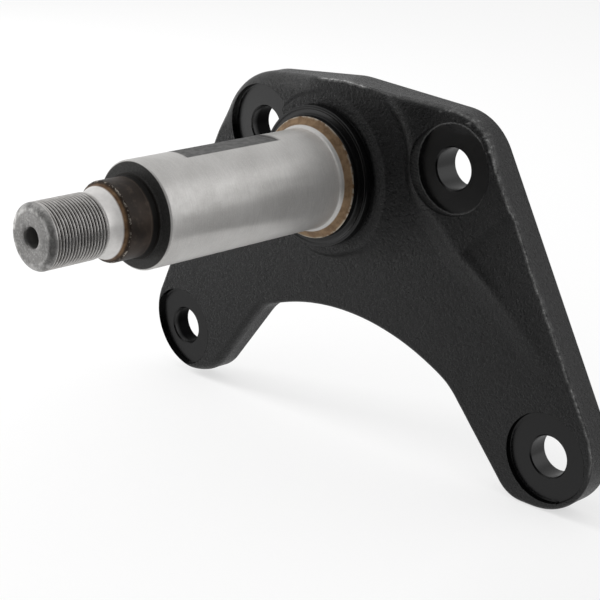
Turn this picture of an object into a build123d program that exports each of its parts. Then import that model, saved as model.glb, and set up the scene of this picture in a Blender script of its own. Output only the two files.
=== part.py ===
"""Leaf spring bracket of a heavy vehicle: a forged frame plate with two legs and four
bolt holes, and a stub shaft forged on as one piece, turned, ground and threaded.

Frame, in millimetres: the shaft axis is the Y axis and the shaft points along -Y. The
flat back face, which bolts to the vehicle's frame rail, lies in the plane y = 0. +X is
towards the right leg and +Z is up. A thickness is measured from the back face, so a
surface of thickness t lies at y = -t.
"""
import os
from math import acos, atan2, cos, degrees, hypot, radians, sin, tan

from build123d import *

# Bolt holes, on the hole grid of a vehicle frame
upper_hole_spacing = 150.0
lower_hole_spacing = 300.0
hole_row_spacing = 150.0
hole_pattern_offset = 20.0
upper_row_height = 20.0
bolt_hole_diameter = 24.0
bolt_hole_chamfer = 0.8
spot_face_diameter = 52.0
upper_left_seat_thickness = 15.5
upper_right_seat_thickness = 17.5
lower_left_seat_thickness = 13.5
lower_right_seat_thickness = 14.0

# Plate outline; a shift moves a corner's centre off its bolt hole, in x and z
upper_left_corner_radius = 46.3
upper_left_corner_shift = (10.5, -11.6)
upper_right_corner_radius = 36.4
upper_right_corner_shift = (-5.6, -4.0)
left_foot_radius = 25.0
right_foot_radius = 37.0
right_foot_shift = (-6.3, 5.3)
crown_radius = 58.8
crown_shift = 13.8
arch_height = 82.5
arch_centre = 13.5
arch_crown_radius = 163.0
left_leg_angle = 53.0
right_leg_angle = 50.0
left_leg_reach = 68.3
right_leg_reach = 86.5
left_knee_radius = 34.0
right_knee_radius = 44.0
left_toe_radius = 14.0
right_toe_radius = 21.0

# Plate thickness, at the height of the lower and of the upper bolt row
foot_thickness = 17.4
head_thickness = 19.3
front_edge_radius = 2.5
back_edge_chamfer = 0.8

# Boss round the root of the shaft
boss_thickness = 23.4
boss_rim_radius = 48.5
boss_foot_radius = 54.0
boss_root = 6.0
boss_rim_rounding = 2.0
hub_radius = 42.4
hub_thickness = 30.0
hub_rounding = 1.5
collar_radius = 36.3
collar_thickness = 34.0
collar_chamfer = 0.5
root_fillet_radius = 9.0
root_fillet_height = 3.6

# Stub shaft
shaft_diameter = 60.0
shaft_shoulder = 167.5
shaft_chamfer = 1.0
flat_depth = 1.2
flat_length = 69.0
flat_setback = 30.0
neck_ring_diameter = 47.0
neck_ring_length = 2.2
neck_diameter = 44.0
neck_length = 21.0
neck_chamfer = 0.8
neck_face_width = 1.6
flare_length = 10.0
flare_entry_slope = 0.6
thread_diameter = 36.0
thread_length = 36.5
thread_runout_depth = 0.6
end_rounding = 1.4
centre_hole_diameter = 10.8
centre_hole_depth = 26.0
centre_hole_chamfer = 0.7
drill_point_angle = 118.0

# Raised rib that starts beside the boss and runs down the right leg
rib_radius = 66.0
rib_start_angle = 50.0
rib_height = 5.2
rib_inner_width = 9.0
rib_outer_width = 17.0
rib_root = 6.0
rib_sink = 0.8
rib_turn = (82.0, -17.0)
rib_leg_heading = -41.0
rib_leg_length = 95.0
# Share of the start angle, of the width and of the height at stations round the boss
rib_round_shares = ((1.0, 0.8, 0.1), (0.8, 1.0, 0.8), (0.4, 1.0, 1.0), (0.0, 0.9, 0.9))
# Share of the width and of the height where the rib turns and where it ends
rib_turn_shares = (0.55, 0.4)
rib_end_shares = (0.3, 0.1)

# Shallow recess on the outer side of the rib, down the right leg
recess_depth = 1.6
recess_length = 110.0
recess_end_z = -95.0
recess_flank_angle = 62.0
recess_corners = ((110.0, -36.0), (154.0, 16.0), (260.0, -90.0), (168.0, -94.0))

# How far a blank stands proud before it is cut, and a cut reaches past a surface
blank_allowance = 12.0
cut_allowance = 1.0

# Bolt hole centres
upper_z = upper_row_height
lower_z = upper_row_height - hole_row_spacing
upper_left = (hole_pattern_offset - upper_hole_spacing / 2, upper_z)
upper_right = (hole_pattern_offset + upper_hole_spacing / 2, upper_z)
lower_left = (hole_pattern_offset - lower_hole_spacing / 2, lower_z)
lower_right = (hole_pattern_offset + lower_hole_spacing / 2, lower_z)

shaft_radius = shaft_diameter / 2
spot_face_radius = spot_face_diameter / 2

# Hole centre and seat thickness of the four bolt holes
bolt_holes = (
    (upper_left, upper_left_seat_thickness),
    (upper_right, upper_right_seat_thickness),
    (lower_left, lower_left_seat_thickness),
    (lower_right, lower_right_seat_thickness),
)

# The front surface leans back by this much for each millimetre of height
front_slope = (head_thickness - foot_thickness) / hole_row_spacing
floor_z = lower_z + right_foot_shift[1] - right_foot_radius
blank_thickness = head_thickness + blank_allowance


def front_thickness(z):
    """Plate thickness at height z."""
    return foot_thickness + (z - lower_z) * front_slope


def around(centre, radius, angle):
    """Point of a circle, the angle counted from +X towards +Z."""
    return (
        centre[0] + radius * cos(radians(angle)),
        centre[1] + radius * sin(radians(angle)),
    )


def moved(point, shift):
    """Point moved by a shift in x and z."""
    return (point[0] + shift[0], point[1] + shift[1])


def tangent_angle(start, start_radius, end, end_radius):
    """Angle at which a line touches two circles, with both circles on its right."""
    run, rise = end[0] - start[0], end[1] - start[1]
    lean = acos((start_radius - end_radius) / hypot(run, rise))
    return degrees(atan2(rise, run) + lean)


def arch_point(reach):
    """Point of the arch's crown, at a distance from its centre line."""
    rise = (arch_crown_radius**2 - reach**2) ** 0.5
    return (arch_centre + reach, rise - arch_crown_radius - arch_height)


def leg_corner(knee, angle, side):
    """Where the inner line of a leg meets the level that the feet stand on."""
    run = (knee[1] - floor_z) / tan(radians(angle))
    return (knee[0] + side * run, floor_z)


left_knee = arch_point(-left_leg_reach)
right_knee = arch_point(right_leg_reach)
left_toe = leg_corner(left_knee, left_leg_angle, -1)
right_toe = leg_corner(right_knee, right_leg_angle, 1)

# Corner circles in order, from the left foot over the crown to the right foot
left_foot = (lower_left, left_foot_radius)
right_foot = (moved(lower_right, right_foot_shift), right_foot_radius)
corners = (
    left_foot,
    (moved(upper_left, upper_left_corner_shift), upper_left_corner_radius),
    ((crown_shift, 0), crown_radius),
    (moved(upper_right, upper_right_corner_shift), upper_right_corner_radius),
    right_foot,
)
side_angles = [
    tangent_angle(*corners[i], *corners[i + 1]) for i in range(len(corners) - 1)
]
left_sole_angle = tangent_angle(left_toe, 0, *left_foot)
arc_starts = [left_sole_angle] + side_angles
arc_ends = side_angles + [-90.0]

with BuildSketch(Plane.XZ) as outline:
    with BuildLine():
        for (centre, radius), start, end in zip(corners, arc_starts, arc_ends):
            sweep = (end - start) % 360 - 360
            CenterArc(centre, radius, start, sweep)
        for i, angle in enumerate(side_angles):
            Line(around(*corners[i], angle), around(*corners[i + 1], angle))
        Line(around(*right_foot, -90), right_toe)
        Line(right_toe, right_knee)
        ThreePointArc(right_knee, arch_point(0), left_knee)
        Line(left_knee, left_toe)
        Line(left_toe, around(*left_foot, left_sole_angle))
    make_face()
    for point, radius in (
        (left_knee, left_knee_radius),
        (right_knee, right_knee_radius),
        (left_toe, left_toe_radius),
        (right_toe, right_toe_radius),
    ):
        corner = outline.vertices().sort_by_distance((point[0], point[1], 0))[0]
        fillet(corner, radius)

# Plate: the blank cut to the leaning front surface, its edges rounded by forging
front_surface = Plane(
    origin=(0, -front_thickness(0), 0),
    x_dir=(1, 0, 0),
    z_dir=(0, -1, -front_slope),
)
with BuildPart() as plate:
    with BuildSketch(Plane.XZ):
        add(outline.sketch_local)
    extrude(amount=blank_thickness)
    split(bisect_by=front_surface, keep=Keep.BOTTOM)
    fillet(plate.faces().sort_by(Axis.Y)[0].outer_wire().edges(), front_edge_radius)
    chamfer(plate.faces().sort_by(Axis.Y)[-1].outer_wire().edges(), back_edge_chamfer)


def square_to(point, heading):
    """Plane across the rib at a point of its crest; the heading is that of the crest."""
    return Plane(
        origin=(point[0], -front_thickness(point[1]), point[1]),
        x_dir=(-sin(radians(heading)), 0, cos(radians(heading))),
        z_dir=(cos(radians(heading)), 0, sin(radians(heading))),
    )


def rib_section(point, heading, width_share, height_share):
    """Low hump across the rib: inner edge, crest height and outer edge in its plane."""
    return (
        square_to(point, heading),
        -rib_inner_width * width_share,
        rib_height * height_share,
        rib_outer_width * width_share,
    )


# Rib sections, round the boss and then down the leg
rib_sections = []
for turn_share, width_share, height_share in rib_round_shares:
    angle = rib_start_angle * turn_share
    crest = around((0, 0), rib_radius, angle)
    rib_sections.append(rib_section(crest, angle - 90, width_share, height_share))
rib_end = around(rib_turn, rib_leg_length, rib_leg_heading)
rib_sections.append(rib_section(rib_turn, rib_leg_heading, *rib_turn_shares))
rib_sections.append(rib_section(rib_end, rib_leg_heading, *rib_end_shares))

with BuildPart() as rib:
    for plane, inner, crest_height, outer in rib_sections:
        with BuildSketch(plane):
            with BuildLine():
                Spline((inner, -rib_sink), (0, crest_height), (outer, -rib_sink))
                Polyline(
                    (outer, -rib_sink),
                    (outer, -rib_root),
                    (inner, -rib_root),
                    (inner, -rib_sink),
                )
            make_face()
    loft(ruled=True)
    with BuildSketch(Plane.XZ):
        add(outline.sketch_local)
        offset(amount=-front_edge_radius)
    extrude(amount=blank_thickness, mode=Mode.INTERSECT)

# Recess on the outer side of the rib, deepest below the upper right bolt and running out
# towards the right foot
recess_floor = Plane(
    origin=(0, -front_thickness(recess_end_z), recess_end_z),
    x_dir=(1, 0, 0),
    z_dir=(0, -1, recess_depth / recess_length - front_slope),
)
with BuildPart() as recess:
    with BuildSketch(recess_floor):
        with BuildLine():
            Polyline(*((x, z - recess_end_z) for x, z in recess_corners), close=True)
        make_face()
    extrude(amount=recess_depth + cut_allowance, taper=-recess_flank_angle)

# Turned profile of the boss, the collar and the stub shaft, as radius and thickness
flare_start = shaft_shoulder + neck_length
thread_start = flare_start + flare_length
shaft_end = thread_start + thread_length
bore_radius = centre_hole_diameter / 2
bore_end = shaft_end - centre_hole_depth
drill_point_depth = bore_radius / tan(radians(drill_point_angle / 2))
with BuildPart() as shaft:
    with BuildSketch(Plane.XY) as profile:
        with BuildLine():
            Polyline(
                (0, -boss_root),
                (boss_foot_radius, -boss_root),
                (boss_foot_radius, -front_thickness(0)),
                (boss_rim_radius, -boss_thickness),
                (hub_radius, -boss_thickness),
                (hub_radius, -hub_thickness),
                (collar_radius, -hub_thickness),
                (collar_radius, -collar_thickness + collar_chamfer),
                (collar_radius - collar_chamfer, -collar_thickness),
            )
            RadiusArc(
                (collar_radius - collar_chamfer, -collar_thickness),
                (shaft_radius, -collar_thickness - root_fillet_height),
                -root_fillet_radius,
            )
            Polyline(
                (shaft_radius, -collar_thickness - root_fillet_height),
                (shaft_radius, -shaft_shoulder + shaft_chamfer),
                (shaft_radius - shaft_chamfer, -shaft_shoulder),
                (neck_ring_diameter / 2, -shaft_shoulder),
                (neck_ring_diameter / 2, -shaft_shoulder - neck_ring_length),
                (neck_diameter / 2, -shaft_shoulder - neck_ring_length),
                (neck_diameter / 2, -flare_start + neck_chamfer),
                (neck_diameter / 2 - neck_chamfer, -flare_start),
                (neck_diameter / 2 - neck_face_width, -flare_start),
            )
            flare = Spline(
                (neck_diameter / 2 - neck_face_width, -flare_start),
                (thread_diameter / 2 - thread_runout_depth, -thread_start),
                tangents=((-1, -flare_entry_slope), (0, -1)),
            )
            Polyline(
                flare @ 1,
                (thread_diameter / 2, -thread_start - thread_runout_depth),
                (thread_diameter / 2, -shaft_end),
                (bore_radius + centre_hole_chamfer, -shaft_end),
                (bore_radius, -shaft_end + centre_hole_chamfer),
                (bore_radius, -bore_end),
                (0, -bore_end + drill_point_depth),
                (0, -boss_root),
            )
        make_face()
        rim = profile.vertices().sort_by_distance((boss_rim_radius, -boss_thickness, 0))[0]
        fillet(rim, boss_rim_rounding)
        hub = profile.vertices().sort_by_distance((hub_radius, -hub_thickness, 0))[0]
        fillet(hub, hub_rounding)
        end = profile.vertices().sort_by_distance((thread_diameter / 2, -shaft_end, 0))[0]
        fillet(end, end_rounding)
    revolve(axis=Axis.Y)

with BuildPart() as bracket:
    add(plate.part)
    add(recess.part, mode=Mode.SUBTRACT)
    add(rib.part)
    add(shaft.part)
    for centre, seat in bolt_holes:
        with BuildSketch(Plane.XZ.offset(seat)):
            with Locations(centre):
                Circle(spot_face_radius)
        extrude(amount=blank_thickness, mode=Mode.SUBTRACT)
        with BuildSketch(Plane.XZ):
            with Locations(centre):
                Circle(bolt_hole_diameter / 2)
        extrude(amount=seat, mode=Mode.SUBTRACT)
    # Milled flat on top of the shaft
    with Locations((0, -shaft_shoulder + flat_setback, shaft_radius - flat_depth)):
        Box(
            shaft_diameter,
            flat_length,
            flat_depth + cut_allowance,
            align=(Align.CENTER, Align.MIN, Align.MIN),
            mode=Mode.SUBTRACT,
        )
    # Small chamfers where the drilled holes meet the faces
    rims = bracket.edges().filter_by(GeomType.CIRCLE).filter_by(
        lambda edge: abs(edge.radius - bolt_hole_diameter / 2) < 0.01
    )
    chamfer(rims, bolt_hole_chamfer)

bracket.part.label = "bracket"
os.makedirs("parts", exist_ok=True)
export_step(bracket.part, "parts/bracket.step")
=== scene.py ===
from math import acos, atan2, cos, hypot, pi, radians, sin, sqrt, tan

import bmesh
import bpy
import numpy as np
from mathutils import Matrix, Vector
from mathutils.geometry import delaunay_2d_cdt


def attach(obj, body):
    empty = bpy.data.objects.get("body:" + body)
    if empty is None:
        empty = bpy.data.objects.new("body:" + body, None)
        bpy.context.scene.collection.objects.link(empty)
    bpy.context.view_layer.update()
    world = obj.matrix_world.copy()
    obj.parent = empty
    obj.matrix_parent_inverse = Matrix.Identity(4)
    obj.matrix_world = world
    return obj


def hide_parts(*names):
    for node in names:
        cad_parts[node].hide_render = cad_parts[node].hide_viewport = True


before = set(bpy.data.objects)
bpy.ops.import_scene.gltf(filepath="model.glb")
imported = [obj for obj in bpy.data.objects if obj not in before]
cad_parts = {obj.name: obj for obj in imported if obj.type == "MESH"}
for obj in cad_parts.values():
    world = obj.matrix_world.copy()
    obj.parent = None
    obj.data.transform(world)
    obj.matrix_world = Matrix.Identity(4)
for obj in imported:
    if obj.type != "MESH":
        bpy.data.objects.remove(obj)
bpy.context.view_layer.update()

MM = 0.001

# ---- Sizes, in millimetres; t is the distance in front of the back face ----
# Bolt holes: two rows about one middle line, each hole with its machined seat
UPPER_ROW, LOWER_ROW, ROW_MIDDLE = 20.0, -130.0, 20.0
UPPER_PITCH, LOWER_PITCH = 150.0, 300.0
UPPER_LEFT = (ROW_MIDDLE - UPPER_PITCH / 2, UPPER_ROW)
UPPER_RIGHT = (ROW_MIDDLE + UPPER_PITCH / 2, UPPER_ROW)
LOWER_LEFT = (ROW_MIDDLE - LOWER_PITCH / 2, LOWER_ROW)
LOWER_RIGHT = (ROW_MIDDLE + LOWER_PITCH / 2, LOWER_ROW)
SEATS = ((UPPER_LEFT, 15.5), (UPPER_RIGHT, 17.5), (LOWER_LEFT, 13.5), (LOWER_RIGHT, 14.0))
BOLT_RADIUS, BOLT_CHAMFER = 12.0, 0.8
SEAT_RADIUS, SEAT_FILLET, SEAT_LIP = 26.0, 0.45, 1.3
# Corner circles of the plate's outline, as centre and radius
LEFT_FOOT = ((-119.4, -122.4), 35.5)
UPPER_LEFT_CORNER = ((-44.5, 8.4), 46.3)
CROWN_CORNER = ((13.8, 0.0), 58.75)
UPPER_RIGHT_CORNER = ((89.4, 16.0), 36.4)
RIGHT_FOOT = ((163.7, -124.7), 37.0)
FLOOR_Z = -161.7
# Arch between the legs: its crown, where the legs leave it and how steeply
ARCH_CENTRE, ARCH_RADIUS, ARCH_TOP = 13.5, 163.0, -82.5
LEFT_REACH, LEFT_ANGLE, LEFT_KNEE_RADIUS = 68.3, radians(53), 34.0
RIGHT_REACH, RIGHT_ANGLE, RIGHT_KNEE_RADIUS = 86.5, radians(50), 44.0
RIGHT_TOE_RADIUS = 21.0
# Thickness of the plate at the lower bolts, its growth for each millimetre up, the boss
FOOT_T, FRONT_SLOPE, BOSS_T = 17.4, 0.0127, 23.4
BACK_CHAMFER = 0.8
# Hub, journal, shoulder, neck, end and centre hole of the shaft
HUB_RADIUS, HUB_T, COLLAR_T = 42.4, 30.0, 33.7
JOURNAL_RADIUS, SHOULDER_T = 30.0, 167.5
NECK_RADIUS, NECK_END_T = 22.0, 187.3
END_T, CENTRE_RADIUS, CENTRE_TIP_T = 235.0, 5.4, 206.2
# Milled flat on the journal: where it starts and ends, and its height over the axis
FLAT_START, FLAT_END, FLAT_Z = 68.5, 137.5, 28.8
# Thread: where it starts and ends, pitch, depth and outer radius; its rounded end
THREAD_START, THREAD_END, PITCH, THREAD_DEPTH, CREST = 198.4, 231.6, 2.0, 1.15, 17.95
END_ROUND_WIDTH, END_ROUND_LENGTH = 4.15, 3.3
# Mesh: width of the rim band, spacings of the points, steps of a full turn and of a pitch
RIM_BAND = 3.5
GRID, OUTLINE_STEP, RING_STEP, BACK_GRID = 0.9, 0.85, 0.8, 7.0
TURN_STEPS, PITCH_STEPS = 222, 10
HUB_STEP = 2 * pi * HUB_RADIUS / TURN_STEPS
MERGE_CELL, MERGE_GAP = 0.004, 0.005
AXIS, FAR = (0.0, 0.0), 999.0


# ---- Small numeric helpers ----
def smooth(low, high, value):
    """Cubic step: 0 below low, 1 above high."""
    share = np.clip((np.asarray(value, float) - low) / (high - low), 0.0, 1.0)
    return share * share * (3.0 - 2.0 * share)


def grain(points, cell, seed):
    """Value noise from -1 to 1: random values on a lattice of that cell size, blended by
    a fifth-degree step between the eight corners round each point."""
    table = np.random.RandomState(seed).uniform(-1.0, 1.0, 4096)
    scaled = np.asarray(points, float) / cell
    whole = np.floor(scaled)
    part = scaled - whole
    part = part**3 * (part * (part * 6.0 - 15.0) + 10.0)
    whole = whole.astype(np.int64)
    total = np.zeros(len(scaled))
    for corner in range(8):
        step = np.array([(corner >> axis) & 1 for axis in range(3)])
        key = (whole + step) * np.array([73856093, 19349663, 83492791])
        value = table[(key[:, 0] ^ key[:, 1] ^ key[:, 2]) & 4095]
        weight = np.prod(np.where(step == 1, part, 1.0 - part), axis=1)
        total += value * weight
    return total


def layered(points, cell, seed, layers=3):
    """Sum of noises, each at half the cell and half the height of the one before."""
    total, height = np.zeros(len(points)), 1.0
    for layer in range(layers):
        total += height * grain(points, cell / 2**layer, seed + layer)
        height *= 0.5
    return total / 1.75


# ---- Outline of the plate ----
def touch_angle(first, second):
    """Angle of the normal on a straight line that touches two circles; a negative radius
    is a circle on the line's other side."""
    (a, r), (b, s) = first, second
    run, rise = b[0] - a[0], b[1] - a[1]
    return atan2(rise, run) + acos((r - s) / hypot(run, rise))


def corner_circle(corner, before, after, radius):
    """Circle of that radius that rounds a corner between two directions."""
    before, after = np.array(before), np.array(after)
    turn = acos(np.clip(before @ after, -1, 1))
    inward = (after - before) / np.linalg.norm(after - before)
    return tuple(np.array(corner) + inward * radius / cos(turn / 2)), radius


def knee_circle(knee, heading, radius, side):
    """Circle that rounds the corner between a leg's inner line and the arch's crown: its
    centre lies a radius off the line and as far inside the crown's circle."""
    heading = np.array(heading)
    left = np.array([-heading[1], heading[0]])
    start = np.array(knee) + left * radius
    centre = np.array([ARCH_CENTRE, ARCH_TOP - ARCH_RADIUS])
    gap = start - centre
    half = gap @ heading
    rest = gap @ gap - (ARCH_RADIUS - radius) ** 2
    along = -half + side * sqrt(half * half - rest)
    return tuple(start + along * heading), -radius


def plate_outline():
    """The plate's edge, walked clockwise: circles joined by the lines that touch them,
    sampled at an even step, with the outward normal of each point."""
    def arch_point(reach):
        rise = sqrt(ARCH_RADIUS**2 - reach**2)
        return np.array([ARCH_CENTRE + reach, rise - ARCH_RADIUS + ARCH_TOP])

    right_knee, left_knee = arch_point(RIGHT_REACH), arch_point(-LEFT_REACH)
    run = (right_knee[1] - FLOOR_Z) / tan(RIGHT_ANGLE)
    right_toe = np.array([right_knee[0] + run, FLOOR_Z])
    up_right = (right_knee - right_toe) / np.linalg.norm(right_knee - right_toe)
    down_left = (-cos(LEFT_ANGLE), -sin(LEFT_ANGLE))
    arch = ((ARCH_CENTRE, ARCH_TOP - ARCH_RADIUS), -ARCH_RADIUS)
    circles = [
        LEFT_FOOT, UPPER_LEFT_CORNER, CROWN_CORNER, UPPER_RIGHT_CORNER, RIGHT_FOOT,
        corner_circle(right_toe, (-1.0, 0.0), up_right, RIGHT_TOE_RADIUS),
        knee_circle(right_knee, up_right, RIGHT_KNEE_RADIUS, 1.0),
        arch,
        knee_circle(left_knee, down_left, LEFT_KNEE_RADIUS, -1.0),
    ]
    count = len(circles)
    joints = []
    for i in range(count):
        (a, r), (b, s) = circles[i], circles[(i + 1) % count]
        # A knee and the crown touch from inside; any other two circles are joined by a line
        if r < 0 and s < 0:
            inner = (np.array(b) - np.array(a)) * (1 if abs(r) > abs(s) else -1)
            joints.append(atan2(inner[1], inner[0]) + pi)
        else:
            joints.append(touch_angle((a, r), (b, s)))
    points, normals = [], []
    for i, (centre, radius) in enumerate(circles):
        start, end = joints[i - 1], joints[i]
        sweep = (end - start) % (2 * pi)
        if radius > 0:
            sweep -= 2 * pi
        steps = max(2, int(abs(sweep * radius) / OUTLINE_STEP))
        angle = start + sweep * np.linspace(0, 1, steps + 1)
        ring = np.stack([np.cos(angle), np.sin(angle)], 1)
        arc = np.array(centre) + ring * radius
        points.append(arc)
        normals.append(ring)
        after, next_radius = circles[(i + 1) % count]
        tip = np.array([cos(end), sin(end)])
        target = np.array(after) + tip * next_radius
        length = np.linalg.norm(target - arc[-1])
        steps = int(length / OUTLINE_STEP)
        if steps > 1:
            share = np.linspace(0, 1, steps + 1)[1:-1, None]
            points.append(arc[-1] + (target - arc[-1]) * share)
            normals.append(np.repeat(tip[None], steps - 1, 0))
    points, normals = np.concatenate(points), np.concatenate(normals)
    keep = np.linalg.norm(points - np.roll(points, 1, 0), axis=1) > 0.05
    return points[keep], normals[keep]


OUTLINE, NORMALS = plate_outline()


def edge_distance(points):
    """Distance inside the outline, and the number of the outline's nearest point."""
    distance = np.zeros(len(points))
    nearest = np.zeros(len(points), int)
    for start in range(0, len(points), 3000):
        part = points[start:start + 3000]
        gap = part[:, None, :] - OUTLINE[None]
        square = (gap * gap).sum(2)
        best = square.argmin(1)
        away = part - OUTLINE[best]
        distance[start:start + 3000] = -(away * NORMALS[best]).sum(1)
        nearest[start:start + 3000] = best
    return distance, nearest


# ---- Front surface of the plate ----
def rib_path():
    """Crest of the rib in the plate's plane: round the boss, then down the right leg. Gives
    points, crest heights and the inner and outer half widths."""
    stops = np.array([
        # x, z, height, inner width, outer width
        (42.0, 61.0, 0.2, 5.0, 16.0),
        (49.0, 56.0, 1.4, 6.0, 17.0),
        (56.0, 50.0, 3.2, 7.0, 18.0),
        (62.5, 43.0, 4.0, 7.0, 22.0),
        (68.0, 33.0, 4.8, 6.5, 26.0),
        (70.5, 22.0, 5.0, 7.0, 32.0),
        (71.5, 11.0, 4.8, 8.5, 36.0),
        (77.0, 0.0, 4.2, 10.5, 36.0),
        (91.0, -13.0, 3.1, 12.0, 32.0),
        (104.0, -26.0, 2.5, 12.5, 28.0),
        (118.0, -36.0, 1.9, 11.5, 26.0),
        (136.0, -50.0, 1.4, 10.5, 20.0),
        (156.0, -67.0, 0.8, 9.0, 13.0),
        (172.0, -81.0, 0.0, 7.0, 9.0),
    ])
    dense = np.linspace(0, len(stops) - 1, 260)
    low = np.clip(dense.astype(int), 0, len(stops) - 2)
    share = (dense - low)[:, None]
    before = stops[np.clip(low - 1, 0, None)]
    first, second = stops[low], stops[low + 1]
    after = stops[np.clip(low + 2, None, len(stops) - 1)]
    path = 0.5 * (
        2 * first
        + (second - before) * share
        + (2 * before - 5 * first + 4 * second - after) * share**2
        + (3 * first - before - 3 * second + after) * share**3
    )
    return path


RIB = rib_path()


def rib_height(x, z):
    """Height of the rib over the plate: from its foot it climbs to the nearest point of its
    crest, then falls away slowly on the outer side. Also the distance outside the crest."""
    height, outside = np.zeros(len(x)), np.zeros(len(x))
    heading = np.gradient(RIB[:, :2], axis=0)
    for start in range(0, len(x), 4000):
        px, pz = x[start:start + 4000], z[start:start + 4000]
        dx, dz = px[:, None] - RIB[None, :, 0], pz[:, None] - RIB[None, :, 1]
        best = (dx * dx + dz * dz).argmin(1)
        rows = np.arange(len(px))
        gap = np.hypot(dx[rows, best], dz[rows, best])
        cross = heading[best, 0] * dz[rows, best] - heading[best, 1] * dx[rows, best]
        gap_soft = np.sqrt(gap**2 + 4.0) - 2.0
        inner = np.clip(gap_soft / RIB[best, 3], 0, 1)
        outer = np.clip(gap_soft / RIB[best, 4], 0, 1)
        climb = 1 - 0.6 * smooth(0, 1, inner) - 0.4 * inner
        fall = (1 - outer) ** 1.6
        height[start:start + 4000] = RIB[best, 2] * np.where(cross > 0, fall, climb)
        outside[start:start + 4000] = np.sign(cross) * gap
    return height, outside


def right_share(x, z):
    """How far round to the right side of the boss a point lies, from 0 to 1."""
    return smooth(0.1, 0.95, np.cos(np.arctan2(z, x) - 0.3))


def front_level(x, z):
    """Thickness of the rough forging in front of the back face: a leaning slab, the boss
    with its flank, the rib, the recess beyond the rib and the pocket above it."""
    level = FOOT_T + (z - LOWER_ROW) * FRONT_SLOPE
    radius, turn = np.hypot(x, z), np.arctan2(z, x)
    # Boss: a flat face to a rim that stands further out on the right, then a flank
    right = right_share(x, z)
    rim = 47.2 + 3.6 * right
    slope = 0.06 * smooth(-0.1, 0.9, np.cos(turn - 0.1))
    lean = slope * np.clip(radius - HUB_RADIUS - 0.6, 0.0, 9.0)
    boss = BOSS_T + 0.2 * np.cos(turn * 3) * smooth(HUB_RADIUS, 46.0, radius) - lean
    fall = np.clip((radius - rim) / (4.2 + 10.5 * right), 0.0, 1.0)
    flank = smooth(0.0, 1.0, fall) * (1 - right) + (1 - (1 - fall) ** 1.5) * right
    rib, outside = rib_height(x, z)
    # Leg zone beyond the rib: a step down at the crease, then level again further down
    crease = ((z + 28.0) - (x - 104.0) * 0.94) / 1.37
    step = 1.5 * smooth(1.6, -1.6, crease) * smooth(-46.0, -6.0, crease)
    step = step * smooth(0.0, 6.0, outside)
    # Pocket between the rib and the top edge
    pocket = 2.6 * smooth(0.0, 16.0, outside) * smooth(28.0, 46.0, z)
    outer = level + rib - step - pocket
    # Low swelling of the slab above the boss
    crown = 1.2 * smooth(34.0, 54.0, z) * smooth(56.0, 20.0, np.abs(x - 16.0)) * flank
    return boss * (1 - flank) + outer * flank + crown


def cast_share(x, z):
    """How rough the forged skin is: rough round the boss and along the rib, fine on the
    open slab and the legs."""
    radius = np.hypot(x, z)
    around_boss = smooth(43.0, 47.0, radius) * smooth(100.0, 62.0, radius)
    around_boss = around_boss * smooth(-70.0, -20.0, z)
    rib, outside = rib_height(x, z)
    near_rib = smooth(0.8, 3.0, rib) * smooth(16.0, 2.0, outside - 30.0 * smooth(24.0, 40.0, z))
    return np.clip(0.22 + 0.6 * around_boss * smooth(-30.0, 20.0, x) + 0.5 * near_rib, 0.0, 1.0)


def skin(x, z):
    """Unevenness of the forged skin, larger where it is rough."""
    points = np.stack([x, np.zeros_like(x), z], 1)
    share = cast_share(x, z)
    lumps = layered(points, 7.0, 11)
    grit = layered(points, 2.6, 29, 2)
    return 0.10 * lumps * (0.5 + share) + 0.13 * grit * share


def rim_radius(number):
    """Rounding of the front edge at each point of the outline: crisp along the top and down
    the right wall, wide round the upper right corner."""
    x, z = OUTLINE[number, 0], OUTLINE[number, 1]
    nx, nz = NORMALS[number, 0], NORMALS[number, 1]
    right_wall = smooth(0.55, 0.85, nx)
    top = smooth(0.9, 0.98, nz) * smooth(-14.0, -4.0, x) * smooth(56.0, 40.0, x)
    corner = smooth(44.0, 70.0, x) * smooth(20.0, 30.0, z)
    return np.clip(2.5 - 1.4 * np.maximum(right_wall, top) + 1.4 * corner, 1.0, 3.3)


def rolled_share(number):
    """Where the plate rolls over softly: into its top left corner, and into the inner side
    of the left leg down to its foot."""
    x, z = OUTLINE[number, 0], OUTLINE[number, 1]
    corner = smooth(-6.0, -22.0, x) * smooth(8.0, 30.0, z)
    leg = smooth(-40.0, -56.0, x) * smooth(-86.0, -98.0, z)
    leg = leg * smooth(-0.2, 0.3, NORMALS[number, 0])
    return np.maximum(corner, 0.8 * leg)


def corner_share(number):
    """The worn-down upper right corner and the top edge beside it."""
    x, z = OUTLINE[number, 0], OUTLINE[number, 1]
    return smooth(50.0, 82.0, x) * smooth(22.0, 34.0, z)


def rim_drop(distance, radius):
    """How far the rounded edge falls below the front surface: a quarter circle."""
    inside = np.clip(radius - distance, 0.0, radius)
    return radius - np.sqrt(np.clip(radius**2 - inside**2, 0.0, None))


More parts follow.
